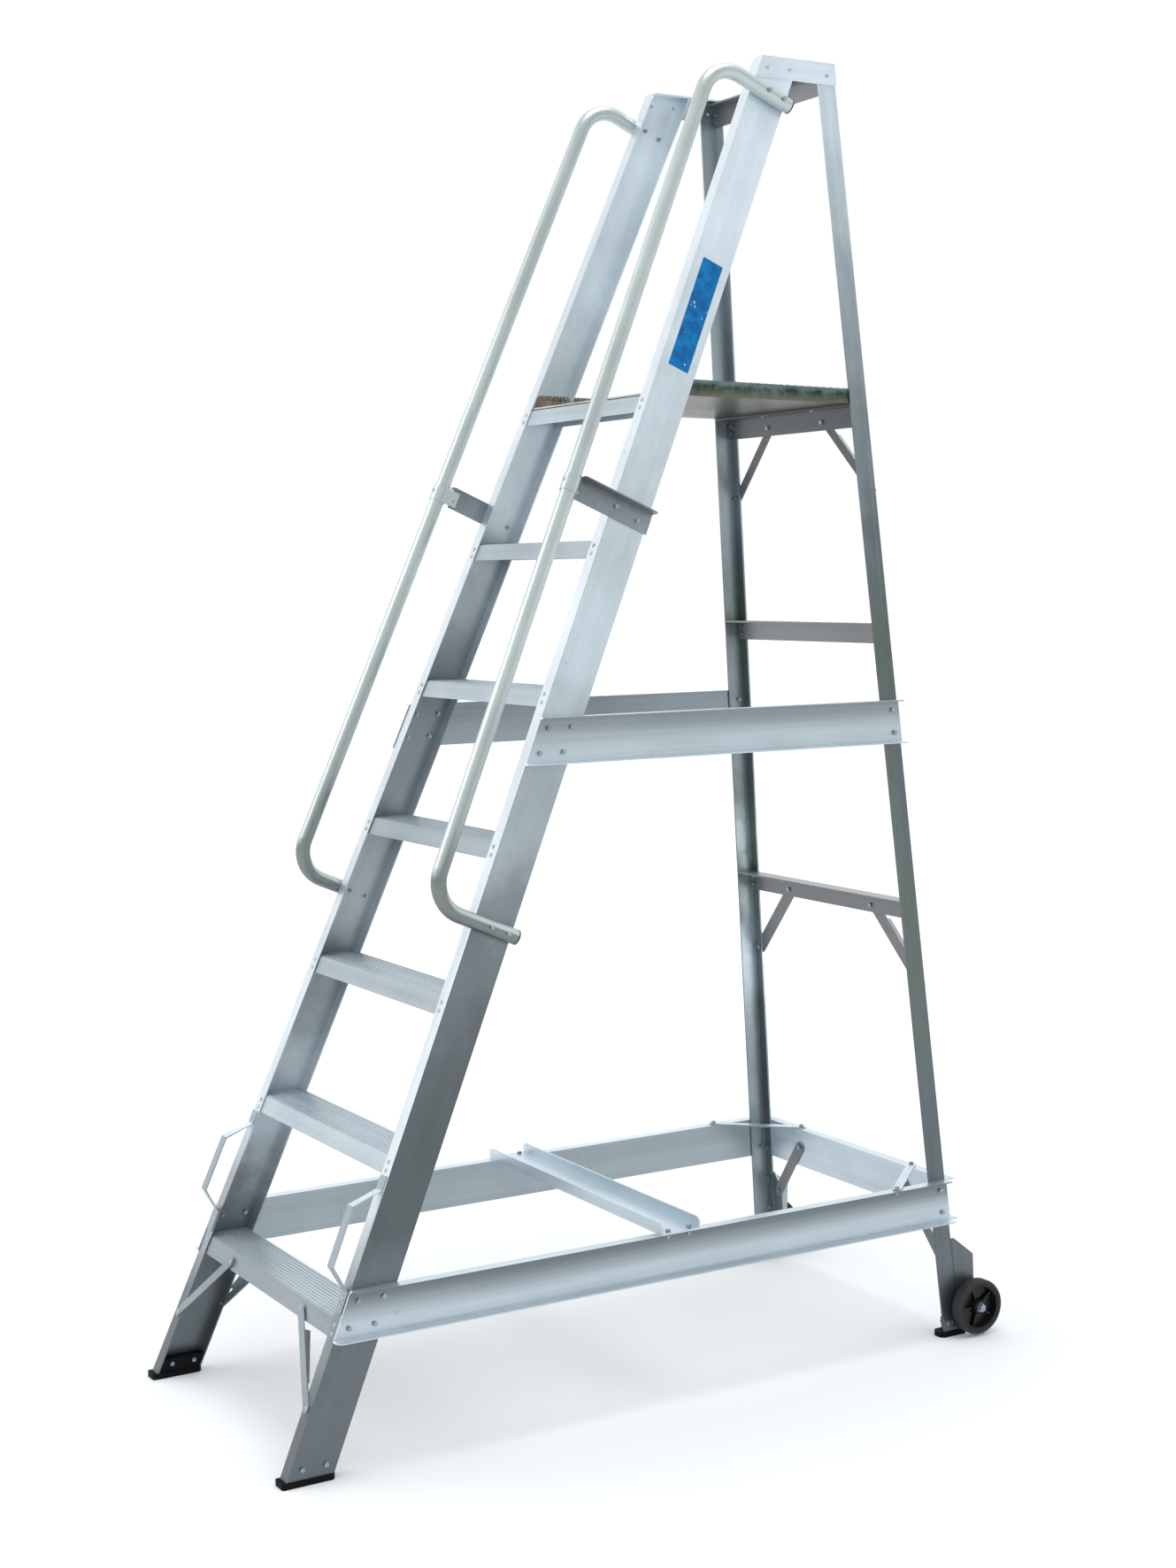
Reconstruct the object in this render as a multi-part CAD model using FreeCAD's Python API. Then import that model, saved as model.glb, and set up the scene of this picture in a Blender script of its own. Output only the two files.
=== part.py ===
import FreeCAD, Part
import math
import os
from FreeCAD import Vector

# Rolling warehouse ladder.  Millimetres, +Z up, climbing side faces -Y, +X is the climber's right.
# The origin lies on the floor under the middle of the whole ladder.

# ------------------------------------------------------------------ driving dimensions
SHIFT_Y = -871.25       # moves the front foot corner so that the origin is central
RISE = 300.0            # height between treads
TREADS = 6              # open treads below the platform
TOP_Z = 2823.0          # top of the ladder

FOOT_HALF = 372.0       # half width over the stile webs, taken at the floor
SPLAY = 0.0506          # both sides close in by this much per mm of height
LEAN = 0.435            # the stiles go back by this much per mm of height
REAR_Y0 = 1657.5        # back face of the rear legs at the floor
REAR_LEAN = 0.085       # the rear legs come forward by this much per mm of height

STILE_DEPTH = 91.5      # channel depth, square to its front face
STILE_FLANGE = 33.0
LEG_DEPTH = 46.0
LEG_FLANGE = 28.0
WALL = 4.0
SOLE = 12.0             # rubber below the metal ends

TREAD_APRON = 34.0
TREAD_WALL = 2.5
RIB_PITCH = 9.0
RIB_HIGH = 1.2

RAIL_HIGH = 95.0        # channel used for the side rails and the base
RAIL_FLANGE = 26.0
LOW_RAIL_Z = 312.0
MID_RAIL_Z = 1399.0
BASE_CHANNEL_Y = 901.0
ANGLE_SIDE = 46.0       # angle used between the rear legs
LEG_RAIL_TOPS = {"leg_cross_rail_lower": 997.0, "leg_cross_rail_upper": 1616.0}

DECK_WALL = 4.0
DECK_RIM = 31.0
DECK_FALL = 0.0125       # the deck drops this much per mm towards the back
LABEL_LOW, LABEL_HIGH = 2374.0, 2619.0
PLATFORM_Z = RISE * (TREADS + 1)

TUBE_R = 16.0
TUBE_WALL = 2.0
TUBE_OUT = 113.0        # tube axis in front of the stile
TUBE_BEND = 70.0
TUBE_LOW = 1144.0       # tube ends, measured along the stile
TUBE_HIGH = 3006.0
TUBE_END = 92.0
BRACKET_U = 2043.0

GRIP_LOW, GRIP_HIGH, GRIP_OUT = 385.0, 591.0, 48.0

WHEEL_R = 62.5
WHEEL_WIDE = 28.0
WHEEL_Y = 1685.0
WHEEL_Z = 67.0
WHEEL_X = 382.0         # inner face of the wheel
AXLE_R = 6.0
RUN_GAP = 0.05

# ------------------------------------------------------------------ frame of the ladder
SLANT = math.sqrt(1.0 + LEAN * LEAN)
DEPTH_Y = STILE_DEPTH * SLANT
DECK_Z = PLATFORM_Z + RIB_HIGH + 0.1 + DECK_FALL * DEPTH_Y     # underside at the front edge


def half(z):
    return FOOT_HALF - SPLAY * z


def front(z):
    return SHIFT_Y + LEAN * z


def rear(z):
    return SHIFT_Y + REAR_Y0 - REAR_LEAN * z


OUT = Vector(1, 0, SPLAY).normalize()
UP = Vector(-SPLAY, LEAN, 1).normalize()
BACK = UP.cross(OUT)
FLANGE_IN = Vector(0, 1, -LEAN).normalize()       # square to the stile's front flange
TWIST = -FLANGE_IN.dot(OUT) / FLANGE_IN.dot(BACK)


def on_stile(w, v, u):
    """Point w outward of the web, v behind the front face, u up along the stile."""
    return Vector(FOOT_HALF, SHIFT_Y, 0) + OUT * w + BACK * v + UP * u


def stile_placed(shape):
    m = FreeCAD.Matrix(OUT.x, BACK.x, UP.x, FOOT_HALF,
                       OUT.y, BACK.y, UP.y, SHIFT_Y,
                       OUT.z, BACK.z, UP.z, 0.0,
                       0.0, 0.0, 0.0, 1.0)
    out = shape.copy()
    out.Placement = FreeCAD.Placement(m)
    return out


def mirrored(shape):
    return shape.mirror(Vector(0, 0, 0), Vector(1, 0, 0))


# ------------------------------------------------------------------ small makers
def prism(points, along):
    wire = Part.makePolygon(points + [points[0]])
    return Part.Face(wire).extrude(along)


def prism_x(yz, x0, x1):
    return prism([Vector(x0, y, z) for y, z in yz], Vector(x1 - x0, 0, 0))


def prism_y(xz, y0, y1):
    return prism([Vector(x, y0, z) for x, z in xz], Vector(0, y1 - y0, 0))


def prism_z(xy, z0, z1):
    return prism([Vector(x, y, z0) for x, y in xy], Vector(0, 0, z1 - z0))


def box(x0, x1, y0, y1, z0, z1):
    return Part.makeBox(x1 - x0, y1 - y0, z1 - z0, Vector(x0, y0, z0))


def join(shapes):
    out = shapes[0]
    for s in shapes[1:]:
        out = out.fuse(s)
    return out.removeSplitter()


def round_edges(shape, radius, keep):
    """Round the edges whose middle point passes the test."""
    picked = [e for e in shape.Edges
              if keep(e.valueAt((e.FirstParameter + e.LastParameter) / 2.0))]
    return shape.makeFillet(radius, picked) if picked else shape


def corner_tool(corner, in_a, in_b, radius, deep):
    """Cutter that rounds one corner; in_a and in_b point into the material."""
    axis = in_a.cross(in_b).normalize()
    start = corner - axis * deep
    pts = [start - in_a * 6 - in_b * 6, start + in_a * radius - in_b * 6,
           start + in_a * radius + in_b * radius, start - in_a * 6 + in_b * radius]
    middle = start + in_a * radius + in_b * radius
    return prism(pts, axis * (2 * deep)).cut(Part.makeCylinder(radius, 2 * deep, middle, axis))


def hexagon(centre, axis, across, height):
    side = Vector(0, 0, 1) if abs(axis.z) < 0.9 else Vector(1, 0, 0)
    a = axis.cross(side).normalize()
    b = axis.cross(a)
    r = across / math.sqrt(3.0)
    pts = []
    for i in range(6):
        t = math.radians(60.0 * i + 30.0)
        pts.append(centre + a * (r * math.cos(t)) + b * (r * math.sin(t)))
    return prism(pts, axis * height)


# ------------------------------------------------------------------ fasteners
FASTENERS = {}
HOLES = []


def bolt(group, point, inward, grip, shank=2.5, across=8.5, head=3.8, sides=(1, -1)):
    """Head on the point, shank going inward through the grip, nut behind it."""
    for s in sides:
        p = Vector(point.x * s, point.y, point.z)
        d = Vector(inward.x * s, inward.y, inward.z).normalize()
        washer = Part.makeCylinder(across * 0.62, 1.0, p - d, d)
        parts = [washer, hexagon(p - d, d * -1.0, across, head),
                 Part.makeCylinder(shank, grip + 8.0, p, d),
                 hexagon(p + d * grip, d, across, 5.0)]
        FASTENERS.setdefault(group, []).append(join(parts))
        HOLES.append(Part.makeCylinder(shank + 0.2, grip + 2.0, p - d, d))


def rivet(point, inward, grip, shank=2.4, head=5.0, sides=(1, -1)):
    """Domed head on both sides of the grip."""
    for s in sides:
        p = Vector(point.x * s, point.y, point.z)
        d = Vector(inward.x * s, inward.y, inward.z).normalize()
        parts = [dome(p, d * -1.0, head, 2.4), Part.makeCylinder(shank, grip, p, d),
                 dome(p + d * grip, d, head * 0.8, 2.2)]
        FASTENERS.setdefault("rivets", []).append(join(parts))
        HOLES.append(Part.makeCylinder(shank + 0.1, grip + 2.0, p - d, d))


def dome(point, axis, radius, height):
    ball = (radius * radius + height * height) / (2.0 * height)
    ball_shape = Part.makeSphere(ball, point - axis * (ball - height))
    return ball_shape.common(Part.makeCylinder(radius + 1.0, height + 1.0, point, axis))


def drilled(shape):
    box_a = shape.BoundBox
    tools = [h for h in HOLES if box_a.intersect(h.BoundBox)]
    return shape.cut(Part.makeCompound(tools)) if tools else shape


# ------------------------------------------------------------------ stiles and legs
def sheared_bar(points, z0, z1, dx, dy):
    pts = [Vector(x + dx * z0, y + dy * z0, z0) for x, y in points]
    return prism(pts, Vector(dx * (z1 - z0), dy * (z1 - z0), z1 - z0))


def stile():
    w, f, t, ty = FOOT_HALF, STILE_FLANGE, WALL, 3.0 * SLANT
    y0, y1 = SHIFT_Y, SHIFT_Y + DEPTH_Y
    section = [(w, y0), (w, y1), (w - f, y1), (w - f, y1 - ty), (w - t, y1 - ty),
               (w - t, y0 + ty), (w - f, y0 + ty), (w - f, y0)]
    top = TOP_Z
    bar = sheared_bar(section, SOLE, top, -SPLAY, LEAN)
    mid = (SOLE + top) / 2.0
    bar = round_edges(bar, 2.0, lambda p: abs(p.z - mid) < 1 and abs(p.x - half(p.z)) < 0.5)
    corner = Vector(half(top) - f, front(top), top)
    bar = bar.cut(corner_tool(corner, Vector(1, 0, 0), Vector(0, 0, -1), 18.0, 12.0))
    lid_room = box(half(top) - f - 5, half(top) + 5, front(top) + ty + 0.1, front(top) + 2 * DEPTH_Y,
                   top - t, top + 1)
    return bar.cut(lid_room)


def leg():
    w, t = FOOT_HALF, WALL
    y1 = SHIFT_Y + REAR_Y0
    section = [(w, y1), (w - LEG_FLANGE, y1), (w - LEG_FLANGE, y1 - t), (w - t, y1 - t),
               (w - t, y1 - LEG_DEPTH), (w, y1 - LEG_DEPTH)]
    bar = sheared_bar(section, SOLE, TOP_Z - WALL, -SPLAY, -REAR_LEAN)
    mid = (SOLE + TOP_Z - WALL) / 2.0
    return round_edges(bar, 2.0, lambda p: abs(p.z - mid) < 1 and p.y > rear(mid) - 0.5
                       and p.x > half(mid) - 0.5)


# ------------------------------------------------------------------ treads
def tread(level):
    top = RISE * level
    low = top - TREAD_APRON
    t, ty = TREAD_WALL, TREAD_WALL * SLANT
    skin = 3.0 * SLANT + 0.1
    a, b = skin, DEPTH_Y - skin
    body = [(front(top) + a, top), (front(top) + b, top), (front(low) + b, low),
            (front(low) + b - ty, low), (front(top - t) + b - ty, top - t),
            (front(top - t) + a + ty, top - t), (front(low) + a + ty, low),
            (front(low) + a, low)]
    solid = prism_x(body, -half(low), half(low))
    ribs = []
    y = front(top) + a + 4.0
    while y < front(top) + b - 5.0:
        ribs.append(box(-half(low), half(low), y, y + 4.0, top - 0.5, top + RIB_HIGH))
        y += RIB_PITCH
    solid = join([solid] + ribs)
    hw_low, hw_top = half(low - 1) - WALL, half(top + 3) - WALL
    window = prism_y([(-hw_low, low - 1), (hw_low, low - 1), (hw_top, top + 3), (-hw_top, top + 3)],
                     front(low) - 50, front(top) + DEPTH_Y + 50)
    for dz in (-9.0, -25.0):
        z = top + dz
        p = Vector(half(z) - STILE_FLANGE / 2.0 - 3.0, front(z), z)
        rivet(p, FLANGE_IN, 3.1 + TREAD_WALL)
        q = Vector(half(z) - STILE_FLANGE / 2.0 - 3.0, front(z) + DEPTH_Y, z)
        rivet(q, FLANGE_IN * -1.0, 3.1 + TREAD_WALL)
    return solid.common(window)


# ------------------------------------------------------------------ side rails
def side_rail(centre_z, group):
    z0, z1 = centre_z - RAIL_HIGH / 2.0, centre_z + RAIL_HIGH / 2.0
    t, f = WALL, RAIL_FLANGE
    section = [(half(z0), z0), (half(z0) + f, z0), (half(z0) + f, z0 + t - 1.5),
               (half(z0 + t) + t, z0 + t), (half(z1 - t) + t, z1 - t),
               (half(z1) + f, z1 - t + 1.5), (half(z1) + f, z1), (half(z1), z1)]
    bar = prism_y(section, front(z0) - 60, rear(z0) + 60)
    ends = prism_x([(front(z0) - 2, z0), (rear(z0), z0), (rear(z1), z1), (front(z1) - 2, z1)],
                   half(z1) - 10, half(z0) + f + 10)
    bar = bar.common(ends)
    for z in (z0, z1):
        corner = Vector(half(z) + f, front(z) - 2.0, z)
        bar = bar.cut(corner_tool(corner, Vector(-1, 0, 0), Vector(0, 1, 0), 14.0, 12.0))
    for dz in (-25.0, 25.0):
        z = centre_z + dz
        for v in (20.0, 70.0):
            p = Vector(half(z), front(z) + v * SLANT, z) + OUT * WALL
            bolt(group, p, OUT * -1.0, 2 * WALL)
        p = Vector(half(z), rear(z) - 20.0, z) + OUT * WALL
        bolt(group, p, OUT * -1.0, 2 * WALL)
    return bar


def rear_rail():
    z0, z1 = LOW_RAIL_Z - RAIL_HIGH / 2.0, LOW_RAIL_Z + RAIL_HIGH / 2.0
    t, f = WALL, RAIL_FLANGE
    section = [(rear(z0), z0), (rear(z0) + f, z0), (rear(z0) + f, z0 + t - 1.0),
               (rear(z0 + t) + t, z0 + t), (rear(z1 - t) + t, z1 - t),
               (rear(z1) + f, z1 - t + 1.0), (rear(z1) + f, z1), (rear(z1), z1)]
    bar = prism_x(section, -half(z0), half(z0))
    ends = prism_y([(-half(z0), z0), (half(z0), z0), (half(z1), z1), (-half(z1), z1)],
                   rear(z0) - 60, rear(z0) + 60)
    for dz in (-28.0, 28.0):
        z = LOW_RAIL_Z + dz
        bolt("base_bolts", Vector(half(z) - 15.0, rear(z) - WALL, z), Vector(0, 1, REAR_LEAN),
             2 * WALL)
    return bar.common(ends)


def base_channel():
    z0 = LOW_RAIL_Z + RAIL_HIGH / 2.0
    y0, y1 = SHIFT_Y + BASE_CHANNEL_Y - RAIL_HIGH / 2.0, SHIFT_Y + BASE_CHANNEL_Y + RAIL_HIGH / 2.0
    t, z1 = WALL, z0 + RAIL_FLANGE
    x = half(z0) + RAIL_FLANGE
    bar = prism_x([(y0, z0), (y1, z0), (y1, z1), (y1 - t, z1), (y1 - t, z0 + t),
                   (y0 + t, z0 + t), (y0 + t, z1), (y0, z1)], -x, x)
    for s in (1, -1):
        for y in (y0, y1):
            corner = Vector(s * x, y, z1)
            bar = bar.cut(corner_tool(corner, Vector(-s, 0, 0), Vector(0, 0, -1), 12.0, 12.0))
    for dy in (-26.0, 26.0):
        bolt("base_bolts", Vector(half(z0) + 14.5, SHIFT_Y + BASE_CHANNEL_Y + dy, z0 + t),
             Vector(0, 0, -1), 2 * t + 0.05, across=9.0)
    return bar


def corner_plate():
    z0 = LOW_RAIL_Z + RAIL_HIGH / 2.0
    a = Vector(half(z0) + 13.0, SHIFT_Y + 1480.0, z0)
    b = Vector(216.0, rear(z0) + 14.0, z0)
    plate = strip(a, b, 20.0, 3.0, Vector(0, 0, 1), 10.0)
    for p in (a, b):
        bolt("base_bolts", p + Vector(0, 0, 3.0), Vector(0, 0, -1), 3.05 + WALL, across=9.0)
    return plate


def strip(a, b, width, thick, normal, over):
    """Flat bar between two points with rounded ends, its back face on the points."""
    along = (b - a).normalize()
    side = normal.cross(along).normalize()
    pts = [a - side * width / 2.0, b - side * width / 2.0,
           b + side * width / 2.0, a + side * width / 2.0]
    bar = prism(pts, normal * thick)
    ends = [Part.makeCylinder(over, thick, p, normal) for p in (a, b)]
    return join([bar] + ends)


def brace(a, b, width, thick, normal, lips, lip_side, ends=(0.24, 0.77)):
    """Flat bar with a folded lip along one long edge, clear of both bolted ends.

    lips gives the lip's height at the a end and at the b end; it points against the normal."""
    flat = strip(a, b, width, thick, normal, width / 2.0)
    along = (b - a).normalize()
    side = normal.cross(along).normalize() * lip_side
    length = (b - a).Length
    p = a + along * (ends[0] * length) + side * (width / 2.0 - thick) + normal * thick
    q = a + along * (ends[1] * length) + side * (width / 2.0 - thick) + normal * thick
    pts = [p, q, q - normal * (lips[1] + thick), p - normal * (lips[0] + thick)]
    return join([flat, prism(pts, side * thick)])


# ------------------------------------------------------------------ cross rails on the legs
def leg_angle(top, tall, forward, group, bolt_zs):
    """Angle between the legs: one side on the leg flanges, the top side pointing forward."""
    t = WALL
    low = top - tall
    face = [(rear(top) - t, top), (rear(low) - t, low), (rear(low) - 2 * t, low),
            (rear(top - t) - 2 * t, top - t), (rear(top) - t - forward, top - t),
            (rear(top) - t - forward, top)]
    bar = prism_x(face, -half(low), half(low))
    lo, hi = half(low - 1) - t - 0.5, half(top + 1) - t - 0.5
    window = prism_y([(-lo, low - 1), (lo, low - 1), (hi, top + 1), (-hi, top + 1)],
                     rear(top) - 120, rear(low) + 60)
    for z in bolt_zs:
        bolt(group, Vector(half(z) - 17.0, rear(z) - 2 * t, z), Vector(0, 1, REAR_LEAN), 2 * t,
             across=9.0)
    return bar.common(window)


def leg_knee(top, tall, rail_x, drop, width, group):
    """Corner brace behind the leg flange, packed out to meet the angle in front of it."""
    z_hi = top - 29.0
    z_lo = z_hi - drop
    lip = 0.25 * width - 1.0
    back = Vector(0, 1, REAR_LEAN).normalize()
    a = Vector(rail_x, rear(z_hi), z_hi) + back * 0.02
    b = Vector(half(z_lo) - 4.5 - width / 2.0, rear(z_lo), z_lo) + back * 0.02
    knee = brace(a + back * 3.0, b + back * 3.0, width, 3.0, back * -1.0, (lip, lip), 1.0)
    packing = Part.makeCylinder(width / 2.0, WALL - 0.01, a - back * (WALL - 0.01), back)
    bolt(group, a - back * 2 * WALL, back, 2 * WALL + 3.1, across=9.0, head=3.0)
    bolt(group, b - back * (WALL + 0.02), back, WALL + 3.1, across=9.0, head=3.0)
    return join([knee, packing])


def base_knee():
    z_hi, z_lo = 314.0, 180.0
    normal = Vector(0, -1, -REAR_LEAN).normalize()
    a = Vector(206.0, rear(z_hi), z_hi)
    b = Vector(half(z_lo) - 51.5, rear(z_lo), z_lo)
    bolt("base_bolts", a + normal * 3.0, normal * -1.0, WALL + 3.1, across=9.0, head=3.0)
    bolt("base_bolts", b + normal * 3.0, normal * -1.0, WALL + 3.1, across=9.0, head=3.0)
    return brace(a, b, 28.0, 3.0, normal, (11.0, 11.0), 1.0, (0.49, 0.67))


# ------------------------------------------------------------------ platform and top
def tilted_prism(yz, x0, x1):
    """Prism across the ladder whose points sink with the deck as they go back."""
    y_start = front(PLATFORM_Z)
    return prism_x([(y, z - DECK_FALL * (y - y_start)) for y, z in yz], x0, x1)


def platform_deck():
    """Tray between the stiles and the legs with an upturned rim on each side."""
    z0 = DECK_Z
    z1, z2 = z0 + DECK_WALL, z0 + DECK_WALL + DECK_RIM
    a = 3.0 * SLANT + 0.3
    y0, y1 = front(z2) + a, rear(z2) - WALL - 0.5
    y_floor = rear(z0) - WALL - 0.5
    floor = tilted_prism([(front(z0) + a, z0), (y_floor, z0), (y_floor, z1), (front(z1) + a, z1)],
                         -half(z1) + WALL, half(z1) - WALL)
    body = [floor]
    for s in (1, -1):
        xs = [s * (half(z0) - WALL), s * (half(z2) - WALL),
              s * (half(z2) - WALL - 3.0), s * (half(z0) - WALL - 3.0)]
        rim = prism_y([(xs[0], z0 - 10), (xs[1], z2), (xs[2], z2), (xs[3], z0 - 10)], y0, y1)
        side = tilted_prism([(y0, z0), (y1, z0), (y1, z2 - 4.0), (y0, z2)], -FOOT_HALF, FOOT_HALF)
        rim = rim.common(side)
        corner = Vector(s * half(z2), y0, z2)
        body.append(rim.cut(corner_tool(corner, Vector(0, 1, 0), Vector(0, 0, -1), 26.0, 14.0)))
    zl = z0 - 12.0
    window = prism_y([(-half(zl) + WALL, zl), (half(zl) - WALL, zl), (half(z2) - WALL, z2),
                      (-half(z2) + WALL, z2)], y0 - 60, y1 + 60)
    back_face = SHIFT_Y + DEPTH_Y
    flange = sheared_bar([(FOOT_HALF + 5, back_face - 3.3 * SLANT), (FOOT_HALF + 5, back_face + 0.3),
                          (FOOT_HALF - STILE_FLANGE - 0.5, back_face + 0.3),
                          (FOOT_HALF - STILE_FLANGE - 0.5, back_face - 3.3 * SLANT)],
                         z0 - 20, z2 + 20, -SPLAY, LEAN)
    y_bolt = rear(PLATFORM_Z) - 26.0
    z_bolt = z1 - DECK_FALL * (y_bolt - front(PLATFORM_Z))
    rivet(Vector(96.0, y_bolt, z_bolt + 0.08), Vector(0, 0, -1), DECK_WALL + WALL + 0.7)
    return join(body).common(window).cut(flange).cut(mirrored(flange))


def top_side_angle():
    t = WALL
    z1, z0 = TOP_Z, TOP_Z - ANGLE_SIDE
    yf0, yf1 = front(z0), front(z1)
    wall = prism_y([(half(z0), z0), (half(z1), z1), (half(z1) + t, z1), (half(z0) + t, z0)],
                   yf0 - 30, rear(z0) + 30)
    lid = prism_y([(half(z1) + t, z1), (half(z1) - 34.0, z1), (half(z1) - 34.0, z1 - t + 0.02),
                   (half(z1) + t, z1 - t + 0.02)], yf0 - 30, rear(z0) + 30)
    ends = prism_x([(yf0, z0), (rear(z0), z0), (rear(z1), z1), (yf1, z1)], 0.0, FOOT_HALF)
    for y, z in ((front(2799) + 22.0, 2799.0), (front(2799) + 80.0, 2799.0),
                 (rear(2796) - 24.0, 2796.0)):
        rivet(Vector(half(z), y, z) + OUT * t, OUT * -1.0, 2 * t)
    y_flange = front(TOP_Z) + 3.2 * SLANT
    flange_room = box(0.0, half(z1 - t) + 0.1, yf0 - 30, y_flange, z1 - t - 1, z1 + 1)
    return join([wall, lid.cut(flange_room)]).common(ends)


# ------------------------------------------------------------------ handrails
def tube_path(lateral):
    k = TUBE_BEND
    c = math.cos(math.radians(45.0)) * k
    p = [(TUBE_END, TUBE_HIGH), (k - TUBE_OUT, TUBE_HIGH), (-TUBE_OUT, TUBE_HIGH - k),
         (-TUBE_OUT, TUBE_LOW + k), (k - TUBE_OUT, TUBE_LOW), (TUBE_END, TUBE_LOW)]
    p = [on_stile(lateral, v, u) for v, u in p]
    m1 = on_stile(lateral, k - TUBE_OUT - c, TUBE_HIGH - k + c)
    m2 = on_stile(lateral, k - TUBE_OUT - c, TUBE_LOW + k - c)
    return Part.Wire([Part.makeLine(p[0], p[1]), Part.Arc(p[1], m1, p[2]).toShape(),
                      Part.makeLine(p[2], p[3]), Part.Arc(p[3], m2, p[4]).toShape(),
                      Part.makeLine(p[4], p[5])])


def handrail():
    path = tube_path(TUBE_R)
    start = on_stile(TUBE_R, TUBE_END, TUBE_HIGH)
    solids = []
    for r in (TUBE_R, TUBE_R - TUBE_WALL):
        ring = Part.Wire(Part.makeCircle(r, start, BACK))
        solids.append(path.makePipeShell([ring], True, False))
    for u in (TUBE_LOW, TUBE_HIGH):
        for v in (27.0, 67.0):
            bolt("handrail_bolts", on_stile(2 * TUBE_R, v, u), OUT * -1.0, 2 * TUBE_R + WALL)
    return solids[0].cut(solids[1])


def tube_plugs():
    out = []
    for u in (TUBE_LOW, TUBE_HIGH):
        p = on_stile(TUBE_R, TUBE_END, u)
        cap = Part.makeCylinder(TUBE_R, 3.0, p, BACK)
        stem = Part.makeCylinder(TUBE_R - TUBE_WALL, 14.0, p - BACK * 14.0, BACK)
        out.append(join([cap, stem]))
    return out


def handrail_bracket():
    u0, u1, v0, v1 = BRACKET_U - 24.0, BRACKET_U + 24.0, -90.0, 96.0
    web = box(0.0, 3.0, v0, v1, u0, u1)
    top = box(0.0, 28.0, v0, v1, u1 - 3.0, u1)
    bar = join([web, top])
    bar = round_edges(bar, 8.0, lambda p: abs(p.x - 28.0) < 0.1 and p.z > u1 - 3.5
                      and (abs(p.y - v0) < 0.1 or abs(p.y - v1) < 0.1))
    for v, u in ((9.0, BRACKET_U + 2.0), (66.0, BRACKET_U - 5.0)):
        bolt("handrail_bolts", on_stile(3.0, v, u), OUT * -1.0, 3.0 + WALL)
    rivet(on_stile(3.0, -86.0, BRACKET_U - 6.0), OUT * -1.0, 6.0)
    rivet(on_stile(TUBE_R, -TUBE_OUT - TUBE_R - 2.5, BRACKET_U), BACK, TUBE_WALL + 3.3)
    return stile_placed(bar)


def tube_clamp():
    """Collar round the tube with an ear behind the bracket."""
    u0, u1 = BRACKET_U - 20.0, BRACKET_U + 14.0
    ring = Part.makeCylinder(TUBE_R + 2.5, u1 - u0, Vector(TUBE_R, -TUBE_OUT, u0), Vector(0, 0, 1))
    ear = box(-3.0, -0.02, -TUBE_OUT, -75.0, u0, u1)
    tube = Part.makeCylinder(TUBE_R + 0.05, u1 - u0, Vector(TUBE_R, -TUBE_OUT, u0), Vector(0, 0, 1))
    return stile_placed(join([ring, ear]).cut(tube))


# ------------------------------------------------------------------ carry handles and tread braces
def carry_handle():
    """Bent flat bar riveted on the front flange."""
    t, wide = 3.0, 24.0
    v = [(0.0, GRIP_HIGH + 28.0), (0.0, GRIP_HIGH), (-GRIP_OUT, GRIP_HIGH - 48.0),
         (-GRIP_OUT, GRIP_LOW + 39.0), (0.0, GRIP_LOW), (0.0, GRIP_LOW - 44.0)]
    w = -STILE_FLANGE / 2.0 - wide / 2.0
    inner = [Vector(w, a + TWIST * w, b) for a, b in v]
    outer = [Vector(p.x, p.y - t, p.z) for p in inner]
    outer[1].z -= 1.0
    outer[2].z += 2.0
    outer[3].z -= 2.0
    outer[4].z += 1.0
    bar = prism(inner + outer[::-1], Vector(wide, TWIST * wide, 0))
    for u in (GRIP_HIGH + 14.0, GRIP_LOW - 15.0, GRIP_LOW - 32.0):
        p = on_stile(-STILE_FLANGE / 2.0, -TWIST * STILE_FLANGE / 2.0, u)
        rivet(p - FLANGE_IN * t, FLANGE_IN, t + 3.0)
    return stile_placed(bar)


def tread_knee(back):
    """Corner brace from the lowest tread to the stile flange, on the front or the back."""
    z_hi, z_lo = RISE - 17.0, 140.0
    s = 1.0 if back else -1.0
    off = DEPTH_Y if back else 0.0
    normal = Vector(0, s, -s * LEAN).normalize()
    a = Vector(186.0, front(z_hi) + off, z_hi)
    b = Vector(half(z_lo) - 19.0, front(z_lo) + off, z_lo)
    knee = brace(a, b, 20.0, 2.5, normal, (24.0, 9.0) if back else (12.0, 3.0), -s)
    boss = Part.makeCylinder(8.0, 3.06, a - normal * 3.06, normal)
    rivet(a + normal * 2.5, normal * -1.0, 2.5 + 3.1 + TREAD_WALL)
    rivet(b + normal * 2.5, normal * -1.0, 2.5 + 3.0)
    return join([knee, boss])


# ------------------------------------------------------------------ feet
def front_foot():
    x1, x0 = half(0) + 3.0, half(0) - STILE_FLANGE - 3.0
    y0, y1 = SHIFT_Y - 5.0, SHIFT_Y + DEPTH_Y + 8.0
    sole = box(x0, x1, y0, y1, 0.0, SOLE)
    sole = round_edges(sole, 5.0, lambda p: 1.0 < p.z < SOLE - 1.0 and p.y < y0 + 1.0)
    sole = round_edges(sole, 12.0, lambda p: 1.0 < p.z < SOLE - 1.0 and p.y > y1 - 1.0)
    skin = 3.0 * SLANT + 0.2
    x_in, x_out = FOOT_HALF - STILE_FLANGE + 1, FOOT_HALF - WALL - 0.1
    near, far = SHIFT_Y + skin, SHIFT_Y + DEPTH_Y - skin
    block = sheared_bar([(x_out, near), (x_out, far), (x_in, far), (x_in, near)],
                        SOLE - 2.0, 40.0, -SPLAY, LEAN)
    for v in (22.0, 68.0):
        p = Vector(half(32), front(32) + v * SLANT, 32.0)
        bolt("foot_bolts", p, OUT * -1.0, STILE_FLANGE - 1.0, across=9.0)
    return join([sole, block])


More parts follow.
